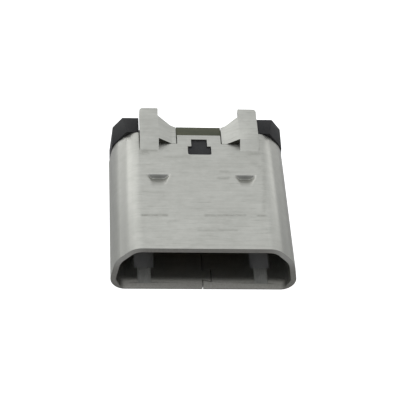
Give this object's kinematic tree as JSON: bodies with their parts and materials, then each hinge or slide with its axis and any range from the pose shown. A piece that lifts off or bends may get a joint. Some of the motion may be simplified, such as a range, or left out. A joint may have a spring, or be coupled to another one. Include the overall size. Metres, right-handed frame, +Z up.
{
  "type": "board-edge charging port",
  "caption": "Flat trapezoid charging port: folded metal shell with locked seam, black insulator with contact tongue, rear ears and tails that clasp a board's edge.",
  "frame": {"origin": "centre of the footprint on the underside, halfway between the mouth plane and the ear tips", "axes": "+X along the width of the mouth, +Y from the mouth to the board end, +Z up from the wide seamed face to the narrow flat"},
  "size_m": [0.0074, 0.0078, 0.0027],
  "materials": {
    "plated_steel": "satin nickel or tin plate over thin steel",
    "black_plastic": "moulded, fine matt grain",
    "olive_plastic": "moulded, dull olive brown",
    "gold_contact": "thin gold plate"
  },
  "bodies": {
    "root": {"shell": "plated_steel", "insulator": "black_plastic", "retainer": "olive_plastic", "contact_1": "gold_contact", "contact_2": "gold_contact", "contact_3": "gold_contact", "contact_4": "gold_contact", "contact_5": "gold_contact"}
  },
  "joints": []
}
